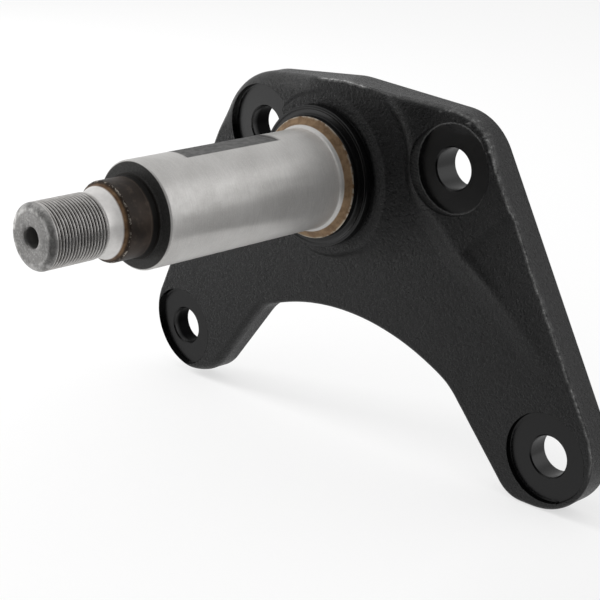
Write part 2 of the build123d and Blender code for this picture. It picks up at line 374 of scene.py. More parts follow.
def wear_and_sheen_line(x, z, distance, number):
    """Share of bare, battered steel, and of painted highlights in the same grey: a rough
    thread of bare steel along the front edge down the right wall, bright along the crown,
    chips round the corner; as painted highlights a thin light line at the foot of the upper
    right seat, and faint painted light on the soft corner, the boss's rim and the rib."""
    nx, nz = NORMALS[number, 0], NORMALS[number, 1]
    ox, oz = OUTLINE[number, 0], OUTLINE[number, 1]
    points = np.stack([x, np.zeros_like(x), z], 1)
    wander = 0.30 * grain(points, 5.0, 5) + 0.22 * grain(points, 1.9, 6)
    band = np.exp(-((distance - 0.62 - 0.6 * wander) / 0.5) ** 2)
    wall = smooth(0.75, 0.9, nx) * smooth(-140.0, -118.0, oz) * 0.42
    crown = smooth(0.93, 0.99, nz) * smooth(-9.0, -3.0, ox) * smooth(120.0, 60.0, ox)
    crown = crown * (0.18 + 0.75 * smooth(36.0, 26.0, ox))
    corner = smooth(70.0, 96.0, ox) * smooth(18.0, 30.0, oz) * 0.30
    broken = 0.45 + 0.55 * smooth(-0.4, 0.4, layered(points, 1.6, 71, 2))
    chips = smooth(0.30, 0.6, layered(points, 1.2, 83, 2)) * smooth(6.0, 1.0, distance)
    edge = band * np.maximum(np.maximum(wall, crown), corner) * broken + 1.2 * corner * chips
    # Painted highlight: a thin light line at the foot of the upper right seat
    away = np.hypot(x - UPPER_RIGHT[0], z - UPPER_RIGHT[1])
    foot = 0.22 * np.exp(-((away - 25.7) / 0.22) ** 2) * smooth(25.94, 25.84, away)
    # Painted highlights: faint light on the soft corner, the boss's rim and the rib's crest
    corner_sheen = 0.08 * rolled_share(number) * smooth(12.0, 3.0, distance) * smooth(-20.0, 0.0, z)
    radius, (rib, outside) = np.hypot(x, z), rib_height(x, z)
    boss_painted_light = 0.035 * smooth(43.0, 44.5, radius) * smooth(51.2, 50.4, radius) * right_share(x, z)
    rib_highlight = 0.03 * np.exp(-((outside + 1.0) / 2.6) ** 2) * smooth(0.6, 1.8, rib)
    lightened = np.maximum(np.maximum(corner_sheen, boss_painted_light), rib_highlight)
    return np.maximum(np.maximum(np.clip(edge, 0, 1), foot), lightened)


def seat_cut(x, z, level, distance):
    """The level after the bolt seats are faced off, with a small fillet at each seat's foot
    and a thin lip left where a seat meets the plate's edge; also how far a point lies inside
    the nearest seat."""
    inside = np.full(len(x), -FAR)
    for (cx, cz), seat in SEATS:
        radius = np.hypot(x - cx, z - cz)
        near = np.clip((radius - SEAT_RADIUS + SEAT_FILLET) / SEAT_FILLET, 0, 1)
        foot = SEAT_FILLET * (1 - np.sqrt(np.clip(1 - near**2, 0, 1)))
        faced = np.minimum(level, seat + foot)
        cut = (radius < SEAT_RADIUS - 0.001) & (distance > SEAT_LIP)
        level = np.where(cut, faced, level)
        inside = np.maximum(inside, SEAT_RADIUS - radius)
        bevel = BOLT_CHAMFER - (radius - BOLT_RADIUS)
        level = np.where(bevel > 0, np.minimum(level, seat - bevel), level)
    return level, inside


def front_height(x, z, distance, number):
    """Finished front surface: forged level with its skin, rounded rim and faced seats."""
    rolled, corner = rolled_share(number), corner_share(number)
    drop = rim_drop(distance, rim_radius(number) * (1 - rolled) + 5.6 * rolled)
    drop = drop * (1 + 0.2 * rolled + 0.7 * corner)
    off_hub = smooth(HUB_RADIUS, 44.0, np.hypot(x, z))
    level = front_level(x, z) + skin(x, z) * off_hub - drop
    points = np.stack([x, np.zeros_like(x), z], 1)
    level = level + 0.05 * wear_and_sheen_line(x, z, distance, number) * layered(points, 1.4, 43, 2)
    return seat_cut(x, z, level, distance)


# ---- Plate mesh ----
def circle(centre, radius, spacing):
    """Evenly spaced points of a circle."""
    count = max(24, int(round(2 * pi * radius / spacing)))
    angle = np.arange(count) * 2 * pi / count
    return np.stack([centre[0] + radius * np.cos(angle), centre[1] + radius * np.sin(angle)], 1)


def thin(points, blockers, gap):
    """Points of a hexagonal field that keep a gap from the given rings, a ring being a
    centre and a radius."""
    keep = np.ones(len(points), bool)
    for (cx, cz), radius in blockers:
        keep &= np.abs(np.hypot(points[:, 0] - cx, points[:, 1] - cz) - radius) > gap
    return points[keep]


def hex_field(spacing):
    """Points of a hexagonal grid over the plate's box."""
    rows = np.arange(FLOOR_Z, 60.0, spacing * sqrt(3) / 2)
    columns = np.arange(-160.0, 202.0, spacing)
    x, z = np.meshgrid(columns, rows)
    x = x + (np.arange(len(rows)) % 2)[:, None] * spacing / 2
    return np.stack([x.ravel(), z.ravel()], 1)


def triangulate(points):
    """Delaunay triangles of the points."""
    result = delaunay_2d_cdt([Vector(p) for p in points.tolist()], [], [], 0, 1e-7)
    corners = np.array([tuple(v) for v in result[0]])
    return corners, np.array([f for f in result[2] if len(f) == 3])


def drop_outside(corners, faces, band, bores):
    """Leaves out triangles that lie beyond the inner rim band or inside a bore, and the flat
    slivers whose three corners all lie on one bore's ring or on the band's border."""
    middle = corners[faces].mean(1)
    distance, _ = edge_distance(middle)
    keep = distance > band - 0.02
    for (cx, cz), radius in bores:
        on_ring = np.abs(np.hypot(corners[:, 0] - cx, corners[:, 1] - cz) - radius) < 0.01
        keep &= np.hypot(middle[:, 0] - cx, middle[:, 1] - cz) > radius * 0.985
        keep &= ~on_ring[faces].all(1)
    _, number = edge_distance(corners)
    border = OUTLINE - NORMALS * band
    on_border = np.hypot(*(corners - border[number]).T) < 0.01
    keep &= ~on_border[faces].all(1)
    return faces[keep]


class Shell:
    """Vertices, faces and named per-vertex values, gathered piece by piece."""

    def __init__(self, names):
        self.points, self.faces, self.count = [], [], 0
        self.values = {name: [] for name in names}

    def add(self, points, faces, **values):
        points = np.asarray(points, float)
        self.points.append(points)
        self.faces += [np.asarray(face) + self.count for face in faces]
        for name, kept in self.values.items():
            value = values.get(name, 0.0)
            kept.append(np.broadcast_to(np.asarray(value, float), (len(points),)))
        self.count += len(points)

    def build(self, name, sharp=32.0):
        """Makes the mesh object of triangles, merged where the parts meet, shaded smooth
        except at sharp folds."""
        points = np.concatenate(self.points)
        key = np.round(points / MERGE_CELL).astype(np.int64)
        _, first, merged = np.unique(key, axis=0, return_index=True, return_inverse=True)
        merged = merged.ravel()
        triangles = []
        for block in self.faces:
            block = merged[block]
            if block.shape[1] == 4:
                block = np.concatenate([block[:, [0, 1, 2]], block[:, [0, 2, 3]]])
            whole = (block != np.roll(block, 1, axis=1)).all(1)
            triangles.append(block[whole])
        mesh = bpy.data.meshes.new(name)
        mesh.from_pydata((points[first] * MM).tolist(), [], np.concatenate(triangles).tolist())
        for value_name, kept in self.values.items():
            layer = mesh.attributes.new(value_name, "FLOAT", "POINT")
            layer.data.foreach_set("value", np.concatenate(kept)[first].astype(np.float32))
        solid = bmesh.new()
        solid.from_mesh(mesh)
        bmesh.ops.remove_doubles(solid, verts=solid.verts, dist=MERGE_GAP * MM)
        loose = [vert for vert in solid.verts if not vert.link_faces]
        bmesh.ops.delete(solid, geom=loose, context="VERTS")
        bmesh.ops.recalc_face_normals(solid, faces=solid.faces)
        solid.to_mesh(mesh)
        solid.free()
        mesh.update()
        mesh.shade_smooth()
        mesh.set_sharp_from_angle(angle=radians(sharp))
        thing = bpy.data.objects.new(name, mesh)
        bpy.context.scene.collection.objects.link(thing)
        return thing


def quads(rows, columns, closed):
    """Quads between neighbouring rows of a grid; closed joins the last column to the first."""
    i = np.arange(rows - 1)[:, None] * columns
    j = np.arange(columns if closed else columns - 1)
    k = (j + 1) % columns
    return np.stack([i + j, i + k, i + k + columns, i + j + columns], -1).reshape(-1, 4)


def lay(points2, thickness):
    """Points of the plate's plane at a thickness, as x, y, z."""
    thickness = np.broadcast_to(thickness, (len(points2),))
    return np.stack([points2[:, 0], -thickness, points2[:, 1]], 1)


def add_rim(shell):
    """The rim band, from the field's border out to the edge, and the side wall down to the
    back. Gives the levels along the border."""
    count = len(OUTLINE)
    numbers = np.arange(count)
    radius = rim_radius(numbers)
    # Rim band
    angles = np.radians([0, 11, 22, 33, 45, 57, 68, 79, 90])
    rows, worn, cast, seat = [], [], [], []
    inner = [np.full(count, RIM_BAND), (RIM_BAND + radius) / 2]
    for distance in inner + [radius * (1 - sin(a)) for a in angles]:
        place = OUTLINE - NORMALS * distance[:, None]
        level, depth = front_height(place[:, 0], place[:, 1], distance, numbers)
        rows.append(lay(place, level))
        worn.append(wear_and_sheen_line(place[:, 0], place[:, 1], distance, numbers) * (depth < 0.7))
        cast.append(cast_share(place[:, 0], place[:, 1]))
        seat.append(smooth(-0.1, 0.1, depth))
    rim_level = -rows[-1][:, 1]
    # Side wall: slightly uneven, never outside the outline
    for share in (0.06, 0.14, 0.3, 0.48, 0.66, 0.84, 1.0):
        level = rim_level * (1 - share) + BACK_CHAMFER * share
        points = np.stack([OUTLINE[:, 0], level, OUTLINE[:, 1]], 1)
        dent = 0.10 * (1 + layered(points, 9.0, 3)) * sin(pi * min(share, 0.999))
        rows.append(lay(OUTLINE - NORMALS * dent[:, None], level))
        worn.append(0.35 * worn[len(inner) + len(angles) - 1] * (share < 0.1))
        cast.append(np.full(count, 0.22))
        seat.append(np.zeros(count))
    rows.append(lay(OUTLINE - NORMALS * BACK_CHAMFER, 0.0))
    worn.append(np.zeros(count))
    cast.append(np.full(count, 0.15))
    seat.append(np.zeros(count))
    shell.add(
        np.concatenate(rows), [quads(len(rows), count, True)],
        worn=np.concatenate(worn), cast=np.concatenate(cast), seat=np.concatenate(seat),
    )
    return -rows[0][:, 1]


def add_front(shell, border_level):
    """The front inside the rim band: a field of points in triangles, with rings of points
    round each bore, close together where a seat's fillet turns up, and round the hub."""
    seat_steps = (0.45, 0.2, 0.05, 0.0, -0.4)
    ring_radii = [BOLT_RADIUS, BOLT_RADIUS + BOLT_CHAMFER]
    ring_radii += [SEAT_RADIUS - step for step in seat_steps]
    rings = [(centre, r) for centre, _ in SEATS for r in ring_radii]
    rings += [(AXIS, r) for r in (HUB_RADIUS, HUB_RADIUS + 0.5)]
    field = hex_field(GRID)
    distance, _ = edge_distance(field)
    field = field[distance > RIM_BAND + 0.5 * GRID]
    bores = [(centre, BOLT_RADIUS) for centre, _ in SEATS] + [(AXIS, HUB_RADIUS)]
    for (cx, cz), r in bores:
        field = field[np.hypot(field[:, 0] - cx, field[:, 1] - cz) > r + 0.3]
    field = thin(field, rings, 0.42)
    for centre, r in rings:
        ring = circle(centre, r, HUB_STEP if centre == AXIS else RING_STEP)
        if centre != AXIS:
            ring = ring[np.hypot(ring[:, 0], ring[:, 1]) > HUB_RADIUS + 0.3]
        apart, _ = edge_distance(ring)
        field = np.concatenate([field, ring[apart > RIM_BAND + 0.35]])
    field = np.concatenate([field, OUTLINE - NORMALS * RIM_BAND])
    corners, faces = triangulate(field)
    faces = drop_outside(corners, faces, RIM_BAND, bores)
    distance, nearest = edge_distance(corners)
    level, depth = front_height(corners[:, 0], corners[:, 1], distance, nearest)
    # The field's border takes the rim band's own points
    border = OUTLINE - NORMALS * RIM_BAND
    edge = np.flatnonzero(np.abs(distance - RIM_BAND) < 0.05)
    gap = ((corners[edge][:, None] - border[None]) ** 2).sum(2)
    best, close = gap.argmin(1), gap.min(1) < 0.0001
    corners[edge[close]] = border[best[close]]
    level[edge[close]] = border_level[best[close]]
    # Painted shade: the seat walls lose their reflection, as if in shadow
    shell.add(
        lay(corners, level), [faces],
        worn=wear_and_sheen_line(corners[:, 0], corners[:, 1], distance, nearest) * (depth < 0.7),
        cast=cast_share(corners[:, 0], corners[:, 1]), seat=smooth(-0.1, 0.1, depth),
        grime=smooth(0.14, 0.06, np.abs(depth - 0.02)),
    )


def add_bores_and_back(shell):
    """The walls of the bores, those of the left two dulled by painted shade, and the flat back."""
    back_rings = []
    for centre, seat_level in SEATS:
        ring = circle(centre, BOLT_RADIUS, RING_STEP)
        wide = np.array(centre) + (ring - centre) * (1 + BOLT_CHAMFER / BOLT_RADIUS)
        levels = [seat_level - BOLT_CHAMFER, seat_level * 0.66, seat_level * 0.33, BACK_CHAMFER]
        wall = [lay(ring, level) for level in levels] + [lay(wide, 0.0)]
        # Painted shade: the left two bores lose their reflection, as if in shadow
        dull = float(centre in (UPPER_LEFT, LOWER_LEFT))
        faces = quads(len(wall), len(ring), True)
        shell.add(np.concatenate(wall), [faces], seat=1.0, grime=dull)
        back_rings.append(wide)
    coarse = hex_field(BACK_GRID)
    distance, _ = edge_distance(coarse)
    coarse = coarse[distance > 4.0]
    for centre, _ in SEATS:
        away = np.hypot(coarse[:, 0] - centre[0], coarse[:, 1] - centre[1])
        coarse = coarse[away > BOLT_RADIUS + 3.0]
    loop = OUTLINE - NORMALS * BACK_CHAMFER
    corners, faces = triangulate(np.concatenate([coarse, loop] + back_rings))
    bores = [(centre, BOLT_RADIUS + BOLT_CHAMFER) for centre, _ in SEATS]
    faces = drop_outside(corners, faces, BACK_CHAMFER, bores)
    shell.add(lay(corners, 0.0), [faces[:, ::-1]], cast=0.1)


def add_hub(shell):
    """The turned rings of the hub, closed under the shaft: a step with a fine groove at its
    foot, its rounded rim, a shallow ring round the collar and the collar."""
    profile = np.array([
        (HUB_RADIUS, BOSS_T), (HUB_RADIUS, 23.9), (42.25, 24.1), (42.25, 25.4),
        (HUB_RADIUS, 25.6), (HUB_RADIUS, 28.6), (42.3, 29.2), (42.0, 29.7), (41.5, 29.95),
        (41.0, HUB_T), (40.4, 29.95), (40.1, 29.8), (39.8, 29.75), (38.2, 29.75),
        (37.2, 29.8), (36.7, HUB_T), (36.45, 30.4), (36.4, 31.0), (36.35, 33.4),
        (36.2, COLLAR_T), (35.0, COLLAR_T), (20.0, COLLAR_T),
    ])
    ring = circle(AXIS, HUB_RADIUS, HUB_STEP)
    distance, nearest = edge_distance(ring)
    level, _ = front_height(ring[:, 0], ring[:, 1], distance, nearest)
    foot = np.concatenate([lay(ring, level), lay(ring, BOSS_T)])
    shell.add(foot, [quads(2, TURN_STEPS, True)[:, ::-1]])
    angle = np.arange(TURN_STEPS) * 2 * pi / TURN_STEPS
    radius, thick = profile[:, 0][:, None], profile[:, 1][:, None]
    x, z = radius * np.cos(angle), radius * np.sin(angle)
    y = np.broadcast_to(-thick, x.shape)
    points = np.stack([x, y, z], -1).reshape(-1, 3)
    turned = quads(len(profile), TURN_STEPS, True)[:, ::-1]
    last = (len(profile) - 1) * TURN_STEPS + np.arange(TURN_STEPS)
    hub = np.full(TURN_STEPS, len(points))
    cap = np.stack([last, hub, np.roll(last, -1)], 1)
    points = np.concatenate([points, [[0.0, -COLLAR_T, 0.0]]])
    shell.add(points, [turned, cap])


def turned_radius(points):
    """Distance from the axis that a faced surface was turned about: the shaft's axis for
    the hub, or the nearest bolt's."""
    best = np.hypot(points[:, 0], points[:, 2])
    best = np.where(best < HUB_RADIUS + 0.2, best, FAR)
    for (cx, cz), _ in SEATS:
        away = np.hypot(points[:, 0] - cx, points[:, 2] - cz)
        best = np.where(away < SEAT_RADIUS + 0.1, away, best)
    return best


def make_plate():
    """The painted forging: rim and wall, front, bores and back, and the hub."""
    shell = Shell(("worn", "cast", "seat", "turned", "grime"))
    add_front(shell, add_rim(shell))
    add_bores_and_back(shell)
    add_hub(shell)
    shell.values["turned"] = [turned_radius(part) for part in shell.points]
    return shell


# ---- Stub shaft ----
def shaft_profile():
    """Radius and thickness down the shaft, before the thread and after it: collar cone,
    journal, shoulder, neck, flare; end face and centre hole."""
    cone = [
        (36.0, 33.2), (36.2, 33.5), (36.28, 33.85), (36.1, 34.1), (35.6, 34.25), (35.0, 34.45),
        (34.3, 34.75), (33.6, 35.15), (32.9, 35.65), (32.3, 36.2), (31.8, 36.75),
        (31.35, 37.3), (30.9, 37.8), (30.5, 38.2), (30.2, 38.7), (30.03, 39.3),
    ]
    # Journal: rows 2 mm apart, and a close pair at each end of the milled flat
    edge = 0.04
    ends = [FLAT_START - edge, FLAT_START + edge, FLAT_END - edge, FLAT_END + edge]
    rows = [np.arange(40.0, 68.0, 2.0), np.arange(70.0, 137.0, 2.0), np.arange(139.0, 166.0, 2.0)]
    journal = [(JOURNAL_RADIUS, t) for t in sorted(np.concatenate(rows + [ends]))]
    shoulder = [
        (JOURNAL_RADIUS, 166.3), (29.93, 166.62), (29.7, 166.95), (29.3, 167.3), (29.0, 167.44),
        (28.6, SHOULDER_T), (27.0, SHOULDER_T), (25.2, SHOULDER_T), (24.4, SHOULDER_T),
        (24.0, 167.52), (23.7, 167.56), (23.55, 167.62), (23.5, 167.8), (23.5, 168.2),
        (23.5, 169.2), (23.35, 169.55), (23.05, 169.7), (22.35, 169.75), (22.05, 169.95),
        (NECK_RADIUS, 170.3),
    ]
    neck = [(NECK_RADIUS, t) for t in np.arange(171.5, 187.0, 1.5)]
    lip = [
        (NECK_RADIUS, NECK_END_T), (21.9, 187.7), (21.6, 188.1), (21.2, 188.35), (20.75, 188.5),
        (20.4, 188.75), (20.1, 189.2), (19.9, 189.8), (19.6, 190.6),
    ]
    share = np.linspace(0.08, 1.0, 12)
    flare = [(19.55 - 2.1 * sin(pi / 2 * k), 190.7 + 7.6 * k) for k in share]
    flare.append((CREST - 0.5, THREAD_START))
    turn = np.radians(np.arange(6, 91, 7))
    middle = (CREST - END_ROUND_WIDTH, THREAD_END + 0.1)
    end = [
        (middle[0] + END_ROUND_WIDTH * cos(a), middle[1] + END_ROUND_LENGTH * sin(a))
        for a in turn
    ]
    end += [
        (12.0, END_T), (9.0, END_T), (6.4, 234.98), (6.05, 234.85), (5.75, 234.55),
        (5.5, 234.1), (CENTRE_RADIUS, 233.5), (CENTRE_RADIUS, 228.0), (CENTRE_RADIUS, 209.0),
        (CENTRE_RADIUS / 2, 207.4),
    ]
    before = cone + journal + shoulder + neck + lip + flare
    return np.array(before), np.array([(CREST, THREAD_END)] + end)


def thread_part():
    """The thread: a grid whose rows climb one pitch a turn, so that each row keeps its own
    depth from crest to root; its ends are cut off square."""
    steps = PITCH_STEPS
    last = int(round((THREAD_END - THREAD_START) / PITCH * steps))
    rows = np.arange(-steps, last + steps + 1)[:, None]
    column = np.arange(TURN_STEPS)[None]
    thick = THREAD_START + PITCH * (rows / steps + column / TURN_STEPS)
    thick = np.clip(thick, THREAD_START, THREAD_END)
    wave = np.clip((np.abs(rows % steps / steps - 0.5) * 2 - 0.14) / 0.56, 0, 1)
    wave = wave * wave * (3 - 2 * wave) * 0.4 + wave * 0.6
    cut = smooth(THREAD_START - 0.4, THREAD_START + 2.2, thick)
    cut = cut * smooth(THREAD_END, THREAD_END - 1.2, thick)
    depth = np.where(thick > THREAD_START, (1 - wave) * THREAD_DEPTH * cut, 0.0)
    radius = CREST - depth - 0.5 * smooth(THREAD_START + 2.6, THREAD_START, thick)
    angle = column * 2 * pi / TURN_STEPS + pi / 2
    points = np.stack([radius * np.cos(angle), -thick, radius * np.sin(angle)], -1).reshape(-1, 3)
    # The seam joins each row to the one a pitch higher
    seam = np.arange(len(rows) - steps - 1) * TURN_STEPS
    end, start = seam + TURN_STEPS - 1, seam + steps * TURN_STEPS
    joined = np.stack([end, start, start + TURN_STEPS, end + TURN_STEPS], -1)
    return points, [quads(len(rows), TURN_STEPS, False), joined], (depth / THREAD_DEPTH).ravel()


def make_shaft():
    """Two profiles turned round the axis with the thread between them; the milled flat cuts
    the top of the journal off at its level."""
    shell = Shell(("milled", "root"))
    angle = np.arange(TURN_STEPS) * 2 * pi / TURN_STEPS + pi / 2
    low = np.arange(TURN_STEPS)
    before, after = shaft_profile()
    for profile, tip, first in ((before, before[0, 1], True), (after, CENTRE_TIP_T, False)):
        radius, thick = profile[:, :1], np.repeat(profile[:, 1:], TURN_STEPS, 1)
        x, z = radius * np.cos(angle), radius * np.sin(angle)
        flat = (thick > FLAT_START) & (thick < FLAT_END) & (z > FLAT_Z)
        wall = (np.abs(thick - FLAT_START) < 0.1) | (np.abs(thick - FLAT_END) < 0.1)
        milled = np.where(flat, 1.0, 0.0) + np.where(wall & (z > FLAT_Z - 0.05), 0.6, 0.0)
        z = np.where(flat, FLAT_Z, z)
        points = np.stack([x, -thick, z], -1).reshape(-1, 3)
        ring = low if first else low + (len(profile) - 1) * TURN_STEPS
        cap = np.stack([ring, np.roll(ring, -1), np.full(TURN_STEPS, len(points))], 1)
        shell.add(
            np.concatenate([points, [[0, -tip, 0]]]), [quads(len(profile), TURN_STEPS, True), cap],
            milled=np.append(np.clip(milled, 0, 1).ravel(), 0.0),
        )
    points, faces, root = thread_part()
    shell.add(points, faces, root=root)
    return shell


# ---- Materials ----
class Tree:
    """Short calls that add nodes to a material's or the world's tree and link them."""

    def __init__(self, owner):
        owner.use_nodes = True
        self.owner, self.tree = owner, owner.node_tree
        self.shader = self.tree.nodes.get("Principled BSDF")

    def link(self, socket, value):
        if isinstance(value, bpy.types.NodeSocket):
            self.tree.links.new(value, socket)
        elif isinstance(value, tuple) and socket.type == "RGBA":
            socket.default_value = value + (1.0,)
        else:
            socket.default_value = value

    def node(self, kind, settings=(), inputs=(), output=0):
        made = self.tree.nodes.new(kind)
        for key, value in dict(settings).items():
            setattr(made, key, value)
        for key, value in dict(inputs).items():
            self.link(made.inputs[key], value)
        return made.outputs[output]

    def math(self, operation, first, second=0.0, third=0.0):
        return self.node(
            "ShaderNodeMath", {"operation": operation}, {0: first, 1: second, 2: third}
        )

    def attribute(self, name):
        return self.node("ShaderNodeAttribute", {"attribute_name": name}, output=2)

    def spread(self, value, low, high, start=0.0, end=1.0):
        return self.node(
            "ShaderNodeMapRange", {"interpolation_type": "SMOOTHSTEP"},
            {"Value": value, "From Min": low, "From Max": high, "To Min": start, "To Max": end},
        )

    def between(self, value, low, high, soft):
        rise = self.spread(value, low - soft, low + soft)
        fall = self.spread(value, high - soft, high + soft, 1.0, 0.0)
        return self.math("MULTIPLY", rise, fall)

    def colour(self, share, first, second):
        made = self.tree.nodes.new("ShaderNodeMix")
        made.data_type = "RGBA"
        self.link(made.inputs[0], share)
        self.link(made.inputs[6], first)
        self.link(made.inputs[7], second)
        return made.outputs[2]

    def blend(self, share, first, second):
        made = self.tree.nodes.new("ShaderNodeMix")
        self.link(made.inputs[0], share)
        self.link(made.inputs[2], first)
        self.link(made.inputs[3], second)
        return made.outputs[0]

    def noise(self, vector, scale, detail=3.0, rough=0.55):
        return self.node(
            "ShaderNodeTexNoise", {},
            {"Vector": vector, "Scale": scale, "Detail": detail, "Roughness": rough},
        )

    def stretch(self, vector, scale):
        return self.node("ShaderNodeMapping", {}, {"Vector": vector, "Scale": scale})

    def bump(self, height, strength, distance, normal=None):
        inputs = {"Height": height, "Strength": strength, "Distance": distance}
        if normal is not None:
            inputs["Normal"] = normal
        return self.node("ShaderNodeBump", {}, inputs)

    def finish(self, **inputs):
        for key, value in inputs.items():
            self.link(self.shader.inputs[key.replace("_", " ")], value)
        return self.owner


def black_paint():
    """Black satin paint over a forged skin: a fine grain everywhere, coarse round the boss,
    smooth and lightly ringed on the faced seats, rubbed to grey steel on worn edges. The same
    grey also paints highlights, and painted shade takes the reflection off the seat walls and
    the left bores."""
    m = Tree(bpy.data.materials.new("black_paint"))
    place = m.node("ShaderNodeTexCoord", output=3)
    worn, cast = m.attribute("worn"), m.attribute("cast")
    seat, turned, grime = m.attribute("seat"), m.attribute("turned"), m.attribute("grime")
    smooth_share = m.math("MAXIMUM", seat, m.spread(turned, 60.0, 100.0, 1.0, 0.0))
    cloud = m.noise(place, 35.0, 4.0)
    grain_fine = m.noise(place, 1500.0, 2.0, 0.6)
    grain_mid = m.noise(place, 520.0, 3.0, 0.6)
    fleck = m.spread(grain_fine, 0.5, 0.78)
    patches, lines = m.spread(cloud, 0.3, 0.7), m.spread(grain_mid, 0.35, 0.7)
    forged = m.colour(patches, (0.0009, 0.0009, 0.0011), (0.0020, 0.0020, 0.0023))
    forged = m.colour(m.math("MULTIPLY", fleck, 0.2), forged, (0.030, 0.030, 0.031))
    faced = m.colour(lines, (0.0010, 0.0010, 0.0012), (0.0020, 0.0020, 0.0022))
    paint = m.colour(smooth_share, forged, faced)
    # Grey of bare steel on worn edges, used as well for the painted highlights
    bare = m.colour(m.spread(grain_fine, 0.35, 0.65), (0.20, 0.20, 0.20), (0.70, 0.70, 0.69))
    colour = m.colour(worn, paint, bare)
    rough = m.blend(smooth_share, m.spread(grain_mid, 0.3, 0.7, 0.25, 0.36), 0.26)
    rough = m.blend(worn, rough, 0.5)
    rings = m.noise(m.node("ShaderNodeCombineXYZ", {}, {"X": turned}), 2.6, 2.0)
    ring_bump = m.bump(rings, m.math("MULTIPLY", smooth_share, 0.10), 0.0002)
    rest = m.math("SUBTRACT", 1.0, smooth_share)
    strength = m.math("MULTIPLY", m.math("MULTIPLY_ADD", cast, 1.0, 0.45), rest)
    coarse = m.bump(grain_mid, strength, 0.0010, ring_bump)
    normal = m.bump(grain_fine, m.math("MULTIPLY_ADD", rest, 0.9, 0.10), 0.0005, coarse)
    # Painted shade: seat walls and the left bores keep little reflection, as if in shadow
    gloss = m.spread(grime, 0.0, 1.0, 0.52, 0.03)
    return m.finish(Base_Color=colour, Roughness=rough, Normal=normal, Specular_IOR_Level=gloss)


